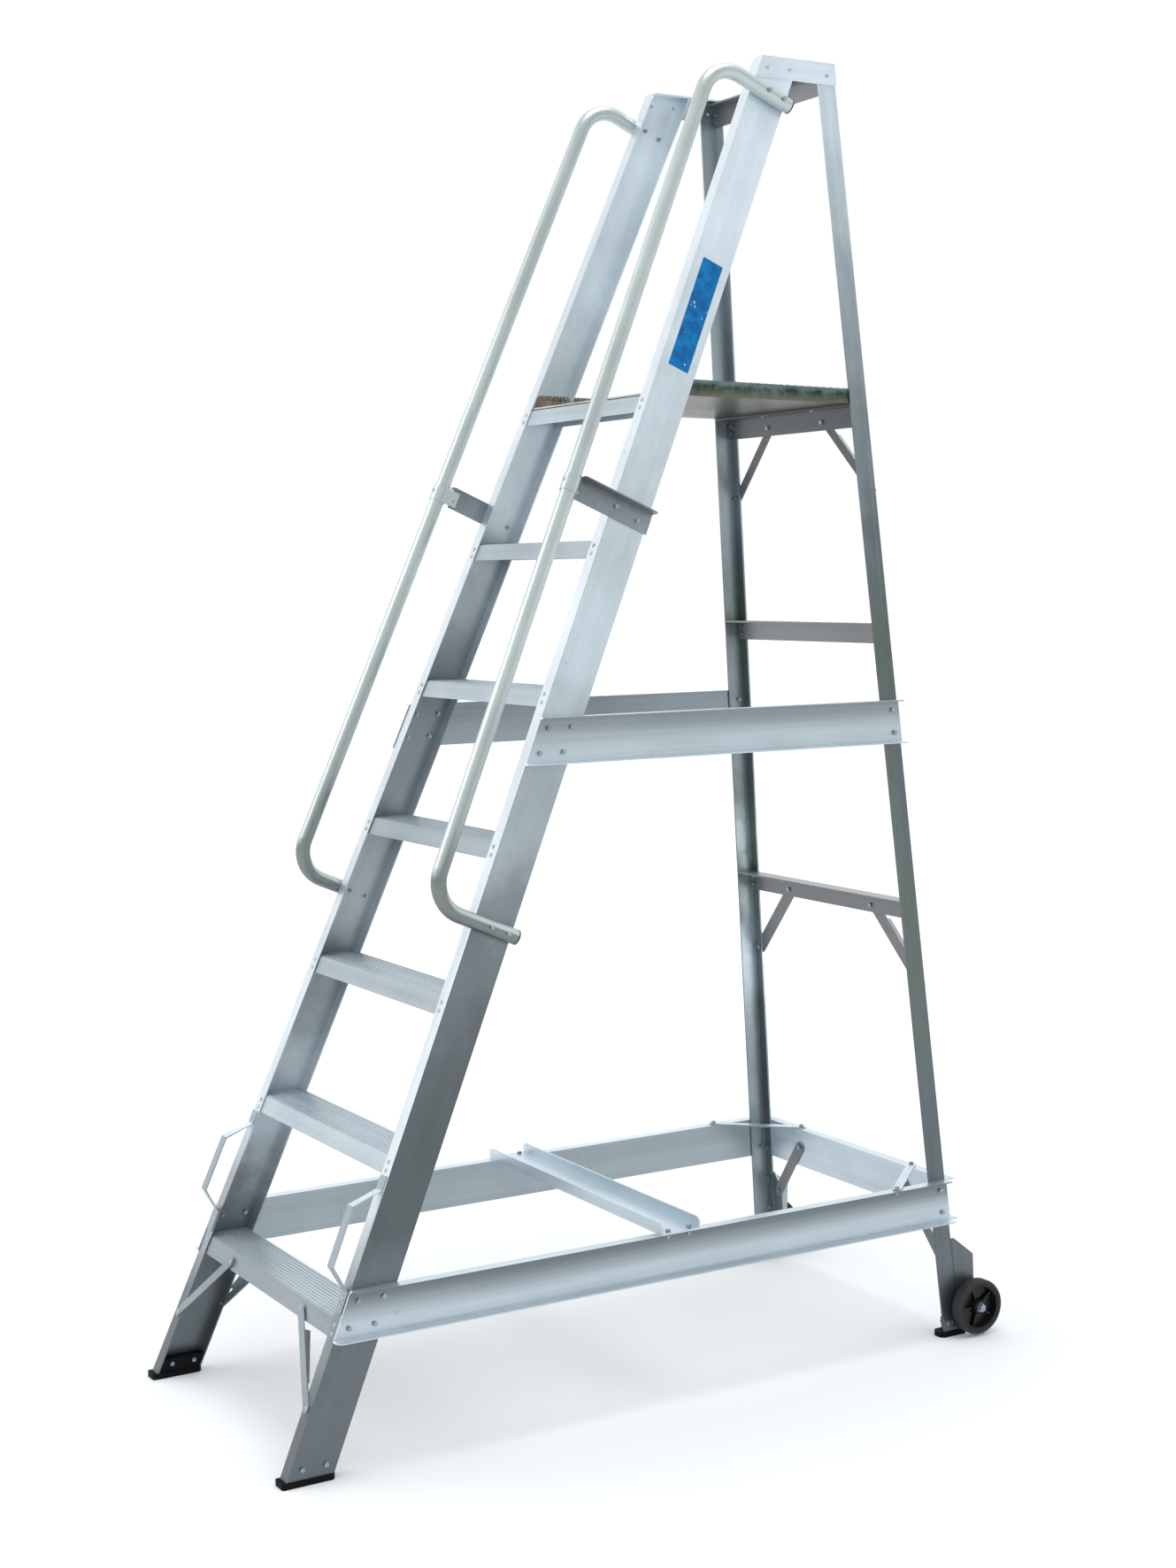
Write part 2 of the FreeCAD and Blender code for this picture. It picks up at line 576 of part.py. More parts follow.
def rear_foot():
    x1, x0 = half(0) + 3.0, half(0) - LEG_FLANGE - 4.0
    y0, y1 = rear(0) - 56.0, rear(0) + 12.0
    sole = box(x0, x1, y0, y1, 0.0, SOLE)
    sole = round_edges(sole, 13.0, lambda p: 1.0 < p.z < SOLE - 1.0 and p.y < y0 + 1.0)
    inner = FOOT_HALF - WALL - 0.1
    near, far = rear(0) - 40.0, rear(0) - WALL - 0.1
    block = sheared_bar([(inner, far), (inner, near), (inner - 11.0, near), (inner - 11.0, far)],
                        SOLE - 2.0, 44.0, -SPLAY, -REAR_LEAN)
    for back in (15.0, 34.0):
        bolt("foot_bolts", Vector(half(32), rear(32) - back, 32.0), OUT * -1.0, WALL + 11.1,
             across=9.0)
    return join([sole, block])


# ------------------------------------------------------------------ wheels
def wheel_bracket():
    """Folded plate: one side on the back of the leg, the cheek carries the axle."""
    t = WALL
    z0, z1, z2, z3 = 34.0, 186.0, 222.0, 178.0
    back = prism([Vector(half(z0), rear(z0), z0), Vector(half(z2), rear(z2), z2),
                  Vector(half(z2) - 30.0, rear(z2), z2), Vector(half(z1) - 60.0, rear(z1), z1),
                  Vector(half(z0) - 60.0, rear(z0), z0)], Vector(0, t, 0))
    ya = SHIFT_Y + WHEEL_Y + 16.0
    outline = [(rear(z0), z0), (ya - 10.0, z0), (ya, z0 + 10.0), (ya, z3), (rear(z2) + 8.0, z2),
               (rear(z2), z2)]
    cheek = prism_x(outline, half(z2) - 20.0, FOOT_HALF + 5.0)
    slab = prism_y([(half(z0), z0), (half(z2), z2), (half(z2) - t, z2), (half(z0) - t, z0)],
                   rear(z2) - 5.0, ya + 5.0)
    plate = join([back, cheek.common(slab)])
    hole = Part.makeCylinder(AXLE_R + 0.02, 60.0, axle_point(WHEEL_X - 40.0), Vector(1, 0, 0))
    for z in (204.0, 127.0):
        bolt("base_bolts", Vector(half(z) - 15.0, rear(z) - WALL, z), Vector(0, 1, REAR_LEAN),
             2 * WALL, across=9.0)
    return plate.cut(hole)


def axle_point(x):
    return Vector(x, SHIFT_Y + WHEEL_Y, WHEEL_Z)


def axle_bolt():
    x_in = half(WHEEL_Z) - WALL - 4.0
    x_out = WHEEL_X + WHEEL_WIDE + 1.0
    east = Vector(1, 0, 0)
    pin = Part.makeCylinder(AXLE_R, x_out - x_in + 8.0, axle_point(x_in - 8.0), east)
    head = hexagon(axle_point(x_out), east, 15.5, 7.0)
    washer = Part.makeCylinder(10.0, 0.9, axle_point(x_out - 0.95), east)
    return join([pin, head, washer])


def axle_nut():
    x = half(WHEEL_Z + 11.0) - WALL - 0.05
    west = Vector(-1, 0, 0)
    nut = join([Part.makeCylinder(11.0, 1.0, axle_point(x), west),
                hexagon(axle_point(x - 1.0), west, 18.0, 9.0)])
    return nut.cut(Part.makeCylinder(AXLE_R + 0.01, 60.0, axle_point(x - 30.0), Vector(1, 0, 0)))


def axle_spacer():
    x = half(WHEEL_Z - 10.0) + 0.05
    ring = Part.makeCylinder(10.0, WHEEL_X - 0.1 - x, axle_point(x), Vector(1, 0, 0))
    return ring.cut(Part.makeCylinder(AXLE_R + 0.02, 40.0, axle_point(x - 5), Vector(1, 0, 0)))


def turned(profile):
    """Solid of revolution about the axle from (x, radius) points."""
    pts = [Vector(x, SHIFT_Y + WHEEL_Y, WHEEL_Z + r) for x, r in profile]
    face = Part.Face(Part.makePolygon(pts + [pts[0]]))
    return face.revolve(axle_point(0.0), Vector(1, 0, 0), 360.0)


def wheel_tyre():
    a, b, r = WHEEL_X, WHEEL_X + WHEEL_WIDE, WHEEL_R
    return turned([(a, 54.0), (a, r - 5.0), (a + 1.5, r - 1.5), (a + 5.0, r), (b - 5.0, r),
                   (b - 1.5, r - 1.5), (b, r - 5.0), (b, 54.0), (b - 3.0, 52.0), (a + 3.0, 52.0)])


def wheel_hub():
    """Moulded hub: rim, thin web, boss, five ribs and five small rim studs."""
    a, b = WHEEL_X, WHEEL_X + WHEEL_WIDE
    hub = turned([(a, 9.0), (a, 16.0), (a + 8.0, 18.0), (a + 8.0, 42.0), (a + 1.0, 46.0),
                  (a + 1.0, 52.7), (a + 3.0, 51.95), (b - 3.0, 51.95), (b - 1.0, 52.7),
                  (b - 1.0, 47.0), (b - 17.0, 43.0), (b - 17.0, 19.0), (b - 1.0, 15.0), (b, 14.0),
                  (b, 9.0)])
    axis = Vector(1, 0, 0)
    extra = []
    for i in range(5):
        angle = 72.0 * i + 20.0
        t = math.radians(angle)
        c = Vector(b - 2.0, SHIFT_Y + WHEEL_Y + 49.5 * math.cos(t), WHEEL_Z + 49.5 * math.sin(t))
        extra.append(Part.makeCylinder(2.2, 1.8, c, axis))
        rib = box(b - 17.5, b - 9.0, -2.0, 2.0, 14.0, 45.0)
        rib.rotate(Vector(0, 0, 0), axis, angle)
        rib.translate(axle_point(0.0))
        extra.append(rib)
    return join([hub] + extra)


def wheel_bush():
    a, b = WHEEL_X, WHEEL_X + WHEEL_WIDE
    bush = Part.makeCylinder(9.0, b - a, axle_point(a), Vector(1, 0, 0))
    return bush.cut(Part.makeCylinder(AXLE_R + RUN_GAP, b - a, axle_point(a), Vector(1, 0, 0)))


def label():
    plate = box(0.0, 0.4, 21.0, 72.0, LABEL_LOW, LABEL_HIGH)
    plate = round_edges(plate, 3.0, lambda p: 0.1 < p.x < 0.3)
    return stile_placed(plate)


# ------------------------------------------------------------------ assembly
def build():
    nodes = {}

    def pair(name, shape):
        nodes["right_" + name] = shape
        nodes["left_" + name] = mirrored(shape)

    def group(name, *shapes):
        nodes[name] = Part.makeCompound(list(shapes) + [mirrored(s) for s in shapes])

    pair("stile", stile())
    pair("rear_leg", leg())
    for i in range(1, TREADS + 1):
        nodes["tread_%d" % i] = tread(i)
    nodes["platform_front_beam"] = tread(TREADS + 1)
    nodes["platform_deck"] = platform_deck()
    deck_low = DECK_Z - DECK_FALL * (rear(PLATFORM_Z) - front(PLATFORM_Z)) - 0.2
    nodes["platform_rear_rail"] = leg_angle(deck_low, 48.0, ANGLE_SIDE - WALL, "leg_bolts",
                                            (2078.0, 2062.0))
    for name, top in LEG_RAIL_TOPS.items():
        nodes[name] = leg_angle(top, ANGLE_SIDE, ANGLE_SIDE - WALL, "leg_bolts",
                                (top - 15.0, top - 33.0))
    nodes["top_rear_rail"] = leg_angle(TOP_Z - WALL - 6.0, 48.0, 30.0, "leg_bolts",
                                       (2792.0, 2775.0))
    pair("top_side_angle", top_side_angle())
    pair("side_rail_mid", side_rail(MID_RAIL_Z, "rail_bolts"))
    pair("side_rail_lower", side_rail(LOW_RAIL_Z, "rail_bolts"))
    nodes["rear_rail_lower"] = rear_rail()
    nodes["base_cross_channel"] = base_channel()
    group("corner_plates", corner_plate())
    group("platform_knees", leg_knee(deck_low, 48.0, 105.0, 158.0, 22.0, "leg_bolts"))
    group("leg_knees", leg_knee(LEG_RAIL_TOPS["leg_cross_rail_lower"], ANGLE_SIDE, 160.0, 162.0,
                                32.0, "leg_bolts"))
    group("base_knees", base_knee())
    group("tread_knees", tread_knee(False), tread_knee(True))
    pair("handrail", handrail())
    group("handrail_brackets", handrail_bracket())
    group("tube_clamps", tube_clamp())
    pair("carry_handle", carry_handle())
    pair("front_foot", front_foot())
    pair("rear_foot", rear_foot())
    pair("wheel_bracket", wheel_bracket())
    for name in list(nodes):
        nodes[name] = drilled(nodes[name])

    group("handrail_plugs", *tube_plugs())
    pair("axle_bolt", axle_bolt())
    group("axle_nuts", axle_nut())
    group("axle_spacers", axle_spacer())
    pair("wheel_tyre", wheel_tyre())
    pair("wheel_hub", wheel_hub())
    pair("wheel_bush", wheel_bush())
    nodes["stile_label"] = label()
    for name, items in FASTENERS.items():
        nodes[name] = Part.makeCompound(items)
    return nodes


os.makedirs("parts", exist_ok=True)
for node_name, node_shape in sorted(build().items()):
    node_shape.exportStep("parts/" + node_name + ".step")
    print(node_name, len(node_shape.Solids), node_shape.isValid(), round(node_shape.Volume))
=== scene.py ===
import math
import bpy
from mathutils import Matrix, Vector


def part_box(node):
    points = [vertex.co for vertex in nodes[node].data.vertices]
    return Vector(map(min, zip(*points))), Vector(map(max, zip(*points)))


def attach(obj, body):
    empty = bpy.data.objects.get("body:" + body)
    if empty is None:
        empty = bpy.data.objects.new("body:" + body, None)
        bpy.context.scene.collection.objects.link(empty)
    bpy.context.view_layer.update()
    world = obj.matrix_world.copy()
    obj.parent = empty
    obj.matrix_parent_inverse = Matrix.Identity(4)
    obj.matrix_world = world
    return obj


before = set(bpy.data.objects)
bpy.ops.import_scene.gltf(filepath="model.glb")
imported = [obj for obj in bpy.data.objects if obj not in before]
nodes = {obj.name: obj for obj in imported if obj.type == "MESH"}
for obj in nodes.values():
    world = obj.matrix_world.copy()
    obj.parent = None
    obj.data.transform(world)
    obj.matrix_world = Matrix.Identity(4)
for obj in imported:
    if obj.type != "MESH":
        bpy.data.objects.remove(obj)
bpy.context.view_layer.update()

scene = bpy.context.scene

# Slopes of the ladder's own design, so that the grain runs along the bars.
LEAN = math.atan(0.435)         # stiles, backwards
REAR_LEAN = math.atan(0.085)    # rear legs, forwards
DECK_FALL = 0.0125              # deck, downwards to the back
RAMP_TOP = 3.0                  # height in metres at the end of every tone ramp


# ------------------------------------------------------------------ shader helpers
class Shade:
    """A Principled material with short ways to wire procedural detail."""

    def __init__(self, name, color, metallic, roughness):
        self.mat = bpy.data.materials.new(name)
        self.mat.use_nodes = True
        self.tree = self.mat.node_tree
        self.bsdf = self.tree.nodes["Principled BSDF"]
        self.bsdf.inputs["Base Color"].default_value = (*color, 1.0)
        self.bsdf.inputs["Metallic"].default_value = metallic
        self.bsdf.inputs["Roughness"].default_value = roughness
        self.point = self.new("ShaderNodeTexCoord").outputs["Object"]

    def new(self, kind, **values):
        node = self.tree.nodes.new(kind)
        for key, value in values.items():
            setattr(node, key, value)
        return node

    def link(self, a, b):
        self.tree.links.new(a, b)

    def feed(self, socket, value):
        if isinstance(value, (int, float)):
            socket.default_value = value
        elif isinstance(value, tuple):
            socket.default_value = (*value, 1.0)
        else:
            self.link(value, socket)

    def stretched(self, turn, scale):
        """Coordinates turned first and stretched afterwards, so the grain follows the bar."""
        out = self.point
        for key, value in (("Rotation", turn), ("Scale", scale)):
            node = self.new("ShaderNodeMapping")
            node.inputs[key].default_value = value
            self.link(out, node.inputs["Vector"])
            out = node.outputs["Vector"]
        return out

    def noise(self, scale, detail=3.0, vector=None, rough=0.55):
        node = self.new("ShaderNodeTexNoise")
        node.inputs["Scale"].default_value = scale
        node.inputs["Detail"].default_value = detail
        node.inputs["Roughness"].default_value = rough
        self.link(vector or self.point, node.inputs["Vector"])
        return node.outputs["Fac"]

    def ramp(self, value, lo, hi, out_lo=0.0, out_hi=1.0, kind="LINEAR"):
        node = self.new("ShaderNodeMapRange", interpolation_type=kind)
        for key, v in (("From Min", lo), ("From Max", hi), ("To Min", out_lo), ("To Max", out_hi)):
            node.inputs[key].default_value = v
        self.link(value, node.inputs["Value"])
        return node.outputs["Result"]

    def math(self, op, a, b):
        node = self.new("ShaderNodeMath", operation=op)
        self.feed(node.inputs[0], a)
        self.feed(node.inputs[1], b)
        return node.outputs[0]

    def mix(self, fac, a, b):
        node = self.new("ShaderNodeMix", data_type="RGBA", blend_type="MIX")
        self.feed(node.inputs["Factor"], fac)
        self.feed(node.inputs[6], a)
        self.feed(node.inputs[7], b)
        return node.outputs[2]

    def axis(self, source, letter):
        node = self.new("ShaderNodeSeparateXYZ")
        self.link(source, node.inputs[0])
        return node.outputs[letter]

    def color(self, value):
        self.link(value, self.bsdf.inputs["Base Color"])

    def rough(self, value):
        self.link(value, self.bsdf.inputs["Roughness"])

    def bump(self, height, strength, distance):
        node = self.new("ShaderNodeBump")
        node.inputs["Strength"].default_value = strength
        node.inputs["Distance"].default_value = distance
        self.link(height, node.inputs["Height"])
        normal = self.bsdf.inputs["Normal"]
        if normal.is_linked:
            self.link(normal.links[0].from_socket, node.inputs["Normal"])
        self.link(node.outputs["Normal"], normal)


def grey(level, tint):
    """A tinted grey, kept below full white."""
    return tuple(min(0.97, level * t) for t in tint)


def painted_shade_by_height(s, height, stops, tint):
    """Tone against height, as painted light and shade.  Each stop is a height in metres and a level."""
    node = s.new("ShaderNodeValToRGB")
    ramp = node.color_ramp
    ramp.interpolation = "EASE"
    while len(ramp.elements) < len(stops):
        ramp.elements.new(1.0)
    for element, (z, _) in zip(ramp.elements, stops):
        element.position = z / RAMP_TOP
    for element, (_, level) in zip(ramp.elements, stops):
        element.color = (*grey(level, tint), 1.0)
    s.link(s.math("DIVIDE", height, RAMP_TOP), node.inputs["Fac"])
    return node.outputs["Color"]


def outward(s):
    """Positive on faces that look away from the middle of the ladder, negative on the inner ones."""
    return s.math("MULTIPLY", s.axis(s.point, "X"), s.axis(s.normal, "X"))


def aluminium(name, stops, inside=None, top=0.80, front=None, turn=(0, 0, 0), tint=(0.88, 1.0, 1.08),
              grain=(300.0, 300.0, 1.2), rough=0.36, streak=0.07, pits=0.3, drift=0.03,
              metal=0.85, moss=0.0, lift=0.10, finish=None):
    """Mill-finish aluminium.

    stops and inside give painted light and shade on outer and inner upright faces against height,
    front a painted highlight on faces to the climbing side, with painted shade near the floor, and top
    a painted tone of light and shade on faces that look up, from a slope of lift on.  finish, when
    given, paints further light and shade over the base tone.
    The grain runs along the bar, turned by turn.  moss adds a green film on the lower half.
    """
    s = Shade(name, grey(stops[-1][1], tint), metal, rough)
    fine = s.noise(1.0, 4.0, s.stretched(turn, grain), 0.7)
    wide = s.noise(1.0, 2.0, s.stretched(turn, tuple(g * 0.12 if g > 20 else g for g in grain)))
    cloud = s.noise(3.5, 5.0, None, 0.6)
    spots = s.noise(30.0, 5.0, None, 0.65)
    s.normal = s.new("ShaderNodeNewGeometry").outputs["Normal"]
    height = s.math("ADD", s.axis(s.point, "Z"), s.ramp(cloud, 0.3, 0.7, -drift, drift))
    # painted light and shade against height on the outer upright faces
    base = painted_shade_by_height(s, height, stops, tint)
    if inside is not None:
        # painted shade: inner upright faces take their own tones against height
        inner = s.ramp(outward(s), -0.12, -0.04, 1.0, 0.0)
        base = s.mix(inner, base, painted_shade_by_height(s, height, inside, tint))
    if moss:
        patch = s.ramp(s.noise(5.0, 5.0, None, 0.7), 0.38, 0.60, 0.0, moss)
        patch = s.math("MULTIPLY", patch, s.ramp(height, 1.5, 1.9, 1.0, 0.15, "SMOOTHSTEP"))
        patch = s.math("MULTIPLY", patch, s.ramp(height, 0.35, 0.85, 0.1, 1.0, "SMOOTHSTEP"))
        base = s.mix(patch, base, (0.125, 0.165, 0.105))
    if front is not None:
        # painted highlight on faces to the climbing side, darkened as painted shade near the floor
        facing = s.ramp(s.axis(s.normal, "Y"), -0.75, -0.55, 1.0, 0.0)
        wear_and_shade, front_lit = grey(front * 0.22, tint), grey(front, (0.93, 1.0, 1.05))
        tone = s.mix(s.ramp(height, 0.15, 0.60), wear_and_shade, front_lit)
        base = s.mix(facing, base, tone)
    # painted light and shade on faces that look up
    upward = s.ramp(s.axis(s.normal, "Z"), lift, lift + 0.28, kind="SMOOTHSTEP")
    base = s.mix(upward, base, grey(top, tint))
    # finish paints further light and shade over the base tone
    if finish is not None:
        base = finish(s, base)
    lines = s.math("ADD", s.ramp(fine, 0.3, 0.7, -streak, streak),
                   s.ramp(wide, 0.3, 0.7, -streak, streak))
    lines = s.math("ADD", lines, s.ramp(cloud, 0.3, 0.7, -0.10, 0.10))
    node = s.new("ShaderNodeHueSaturation")
    s.link(base, node.inputs["Color"])
    s.link(s.math("ADD", lines, 1.0), node.inputs["Value"])
    scuff = s.ramp(spots, 0.66, 0.80, 0.0, pits)
    s.color(s.mix(scuff, node.outputs["Color"], grey(0.12, tint)))
    s.rough(s.math("ADD", s.ramp(fine, 0.3, 0.7, rough - 0.05, rough + 0.07),
                   s.ramp(cloud, 0.35, 0.7, -0.04, 0.06)))
    if streak > 0.03:
        s.bump(fine, 0.15, 0.00005)
    s.bump(s.noise(9.0, 2.0), 0.10, 0.0006)
    return s.mat


def deck_painted_light_and_shade(s, base):
    """Plate deck: underside painted dark olive as painted shade; rims mottled and banded by height,
    dark green outside and brown inside, as painted reflection and shade.
    """
    fall = s.math("ADD", s.axis(s.point, "Z"), s.math("MULTIPLY", s.axis(s.point, "Y"), DECK_FALL))
    blot = s.noise(26.0, 5.0, None, 0.7)
    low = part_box("platform_deck")[1][2] - 0.029
    level = s.math("ADD", fall, s.ramp(blot, 0.3, 0.7, -0.005, 0.005))
    # outer rim: painted reflection, banded by height and mottled
    near = s.mix(s.ramp(level, low - 0.004, low + 0.012), (0.13, 0.135, 0.09),
                 s.mix(s.ramp(blot, 0.42, 0.60), (0.02, 0.035, 0.03), (0.10, 0.14, 0.13)))
    near = s.mix(s.ramp(level, low + 0.016, low + 0.024), near, (0.12, 0.17, 0.17))
    # inner rim: painted shade, mottled brown
    far = s.mix(s.ramp(blot, 0.38, 0.62), (0.13, 0.095, 0.06), (0.30, 0.26, 0.19))
    rim = s.mix(s.ramp(outward(s), -0.02, 0.02), far, near)
    sides = s.ramp(s.math("ABSOLUTE", s.axis(s.normal, "X"), 0.0), 0.6, 0.8)
    base = s.mix(sides, base, rim)
    # painted shade on faces that look down
    underside_shade = s.mix(s.ramp(blot, 0.35, 0.65), (0.008, 0.014, 0.003), (0.028, 0.036, 0.016))
    return s.mix(s.ramp(s.axis(s.normal, "Z"), -0.5, -0.2, 1.0, 0.0), base, underside_shade)


def plain(name, color, metallic, rough, spread=0.25, scale=60.0, bump=0.3, shine=0.5):
    """Small parts: mottled colour, uneven gloss and a fine surface grain."""
    s = Shade(name, color, metallic, rough)
    s.bsdf.inputs["Specular IOR Level"].default_value = shine
    n = s.noise(scale, 4.0)
    dark = tuple(c * (1 - spread) for c in color)
    light = tuple(min(1.0, c * (1 + spread)) for c in color)
    s.color(s.mix(s.ramp(n, 0.3, 0.7), dark, light))
    s.rough(s.ramp(n, 0.3, 0.7, rough - 0.07, rough + 0.07))
    s.bump(s.noise(scale * 6.0, 3.0), bump, 0.0002)
    return s.mat


def label_blue():
    """Blank printed sheet: saturated blue, slightly uneven ink and a few flecks of wear."""
    s = Shade("label_blue", (0.0, 0.14, 0.42), 0.0, 0.45)
    s.bsdf.inputs["Specular IOR Level"].default_value = 0.2
    ink = s.mix(s.ramp(s.noise(45.0, 4.0), 0.35, 0.65), (0.0, 0.09, 0.28), (0.0, 0.18, 0.46))
    wear_and_shade = s.ramp(s.noise(95.0, 2.0), 0.71, 0.74)
    s.color(s.mix(wear_and_shade, ink, (0.62, 0.74, 0.84)))
    s.rough(s.ramp(s.noise(60.0, 3.0), 0.3, 0.7, 0.28, 0.42))
    return s.mat


# ------------------------------------------------------------------ materials
ACROSS = (1.2, 300.0, 300.0)      # grain of bars that lie along X
ALONG_Y = (300.0, 1.2, 300.0)     # grain of bars that lie along Y
EVEN = (60.0, 60.0, 60.0)         # no direction
STILE_TURN = (LEAN, 0, 0)
LEG_TURN = (-REAR_LEAN, 0, 0)


def web_stops(node, upper, lower):
    """Painted reflection across a rail: one tone at its top edge, one at its bottom edge."""
    lo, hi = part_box(node)
    return [(lo[2] + 0.02, lower), (hi[2] - 0.01, upper)]


# The tone stops, inside lists, front and top tones below are painted light and shade, set by height and
# facing.
MAT = {
    "stile": aluminium("stile_aluminium",
                       [(0.05, 0.16), (0.35, 0.17), (0.5, 0.12), (0.7, 0.13), (1.0, 0.20),
                        (1.08, 0.26), (1.24, 0.42), (1.62, 0.62), (2.8, 0.82)],
                       [(0.1, 0.19), (0.35, 0.17), (0.55, 0.52), (0.7, 0.46), (0.85, 0.25), (1.0, 0.36),
                        (1.3, 0.25), (1.55, 0.24), (1.75, 0.36), (1.9, 0.60), (2.8, 0.84)],
                       front=0.78, lift=0.55, turn=STILE_TURN, drift=0.10, streak=0.04),
    "low_rail": aluminium("low_rail_aluminium", web_stops("right_side_rail_lower", 0.20, 0.60),
                          [(0.25, 0.46), (0.37, 0.44)], top=0.82, grain=ALONG_Y, drift=0.006),
    "mid_rail": aluminium("mid_rail_aluminium", web_stops("right_side_rail_mid", 0.32, 0.60),
                          [(1.35, 0.34), (1.45, 0.28)], top=0.90, grain=ALONG_Y, drift=0.006),
    "top_rail": aluminium("top_rail_aluminium", [(0.0, 0.70), (3.0, 0.76)], top=0.92, grain=ALONG_Y),
    "leg": aluminium("leg_aluminium",
                     [(0.1, 0.16), (1.75, 0.165), (2.0, 0.25), (2.25, 0.36), (2.7, 0.66)],
                     [(0.1, 0.46), (0.5, 0.34), (0.9, 0.78), (1.05, 0.70), (1.2, 0.32), (1.7, 0.30),
                      (2.0, 0.37), (2.7, 0.31)],
                     turn=LEG_TURN, tint=(0.86, 1.0, 1.09), moss=0.6, drift=0.10),
    "cross": aluminium("cross_rail_aluminium",
                       [(0.9, 0.19), (1.6, 0.25), (2.0, 0.14), (2.2, 0.15), (2.7, 0.24)],
                       top=0.40, grain=ACROSS, tint=(0.97, 1.0, 1.03), pits=0.6),
    "bracket": aluminium("bracket_aluminium", [(1.80, 0.34), (1.98, 0.15)], top=0.16,
                         grain=EVEN),
    "base": aluminium("base_aluminium", [(0.2, 0.62), (0.5, 0.70)], top=0.80, grain=ACROSS),
    "plate": aluminium("plate_aluminium", [(0.2, 0.34), (2.0, 0.40)], lift=0.55, grain=EVEN),
    "grip": aluminium("grip_aluminium", [(0.4, 0.40), (0.9, 0.46)], lift=0.55, grain=EVEN,
                      metal=0.6),
    "tread": aluminium("tread_aluminium",
                       [(0.3, 0.34), (0.6, 0.58), (0.9, 0.48), (1.2, 0.42), (1.42, 0.50),
                        (1.75, 0.47), (1.95, 0.54)],
                       top=0.66, lift=0.55, grain=ACROSS, metal=0.6),
    "tube": aluminium("tube_aluminium",
                      [(0.85, 0.18), (1.13, 0.24), (1.3, 0.44), (1.8, 0.56), (3.0, 0.56)],
                      top=0.62, turn=STILE_TURN, rough=0.36, streak=0.02, pits=0.0,
                      tint=(0.90, 1.0, 0.99), metal=0.9),
    "deck": aluminium("deck_aluminium", [(2.0, 0.20), (2.2, 0.24)], top=0.50,
                      grain=(40.0, 40.0, 40.0), tint=(1.0, 1.0, 0.93), streak=0.15, metal=0.6,
                      finish=deck_painted_light_and_shade),
    "lug": plain("lug_aluminium", (0.62, 0.62, 0.58), 0.5, 0.35),
    "zinc": plain("zinc_plated_steel", (0.30, 0.35, 0.40), 1.0, 0.30),
    "rivet": plain("rivet_aluminium", (0.42, 0.46, 0.50), 1.0, 0.35),
    "rubber": plain("foot_rubber", (0.006, 0.006, 0.007), 0.0, 0.65, 0.3, 40.0, 0.5, 0.10),
    "tyre": plain("tyre_rubber", (0.024, 0.023, 0.027), 0.0, 0.60, 0.3, 50.0, 0.5, 0.35),
    "hub": plain("hub_plastic", (0.006, 0.008, 0.008), 0.0, 0.35, 0.3, 30.0, 0.3, 0.3),
    "label": label_blue(),
}

# The first rule that fits a node's name gives its material.
RULES = (
    ("label", lambda n: n == "stile_label"),
    ("rivet", lambda n: n == "rivets"),
    ("plate", lambda n: n == "handrail_bolts"),
    ("zinc", lambda n: n.endswith("bolts") or "axle" in n or "bush" in n),
    ("tyre", lambda n: "tyre" in n),
    ("hub", lambda n: "hub" in n or "plugs" in n),
    ("rubber", lambda n: n.endswith("_foot")),
    ("tube", lambda n: n in ("left_handrail", "right_handrail", "tube_clamps")),
    ("leg", lambda n: "rear_leg" in n or "wheel_bracket" in n),
    ("cross", lambda n: n.startswith("leg_") or n in ("top_rear_rail", "platform_rear_rail",
                                                      "platform_knees", "base_knees")),
    ("deck", lambda n: n == "platform_deck"),
    ("grip", lambda n: "carry_handle" in n),
    ("bracket", lambda n: n == "handrail_brackets"),
    ("plate", lambda n: n in ("corner_plates", "tread_knees")),
    ("tread", lambda n: n.startswith("tread_") or n == "platform_front_beam"),
    ("low_rail", lambda n: n.endswith("side_rail_lower")),
    ("mid_rail", lambda n: n.endswith("side_rail_mid")),
    ("top_rail", lambda n: "top_side" in n),
    ("base", lambda n: n in ("rear_rail_lower", "base_cross_channel")),
    ("stile", lambda n: True),
)

for name, obj in nodes.items():
    key = next(k for k, test in RULES if test(name))
    if not obj.material_slots:
        obj.data.materials.append(MAT[key])
    for slot in obj.material_slots:
        slot.material = MAT[key]


# ------------------------------------------------------------------ raised pattern on the deck
def lug(verts, faces, centre, along, normal, length, width, height=0.0012):
    """One lens-shaped raised lug of the plate pattern."""
    across = normal.cross(along).normalized()
    ring = ((0.5, 0.0), (0.25, 0.42), (-0.25, 0.42), (-0.5, 0.0), (-0.25, -0.42), (0.25, -0.42))
    first = len(verts)
    for u, v in ring:
        verts.append(centre + along * u * length + across * v * width - normal * 0.0004)
    for u in (0.22, -0.22):
        verts.append(centre + along * u * length + normal * height)
    k = [first + i for i in range(8)]
    faces += [(k[0], k[1], k[6]), (k[1], k[2], k[7], k[6]), (k[2], k[3], k[7]),
              (k[3], k[4], k[7]), (k[4], k[5], k[6], k[7]), (k[5], k[0], k[6])]


def pattern(verts, faces, origin, u, v, normal, nu, nv, pitch):
    """Rows of lugs that lean left and right in turn."""
    for i in range(nu):
        for j in range(nv):
            turn = (u + v).normalized() if (i + j) % 2 else (u - v).normalized()
            centre = origin + u * (pitch * (i + 0.5)) + v * (pitch * (j + 0.5))
            lug(verts, faces, centre, turn, normal, pitch * 1.15, pitch * 0.30)


def hit(start, direction):
    """Where a straight line first meets the deck."""
    found, place, _, _ = nodes["platform_deck"].ray_cast(start, direction)
    return place if found else None


FLOOR_PITCH = 0.018     # spacing of the lugs on the deck's floor
RIM_PITCH = 0.0095      # and on its rims


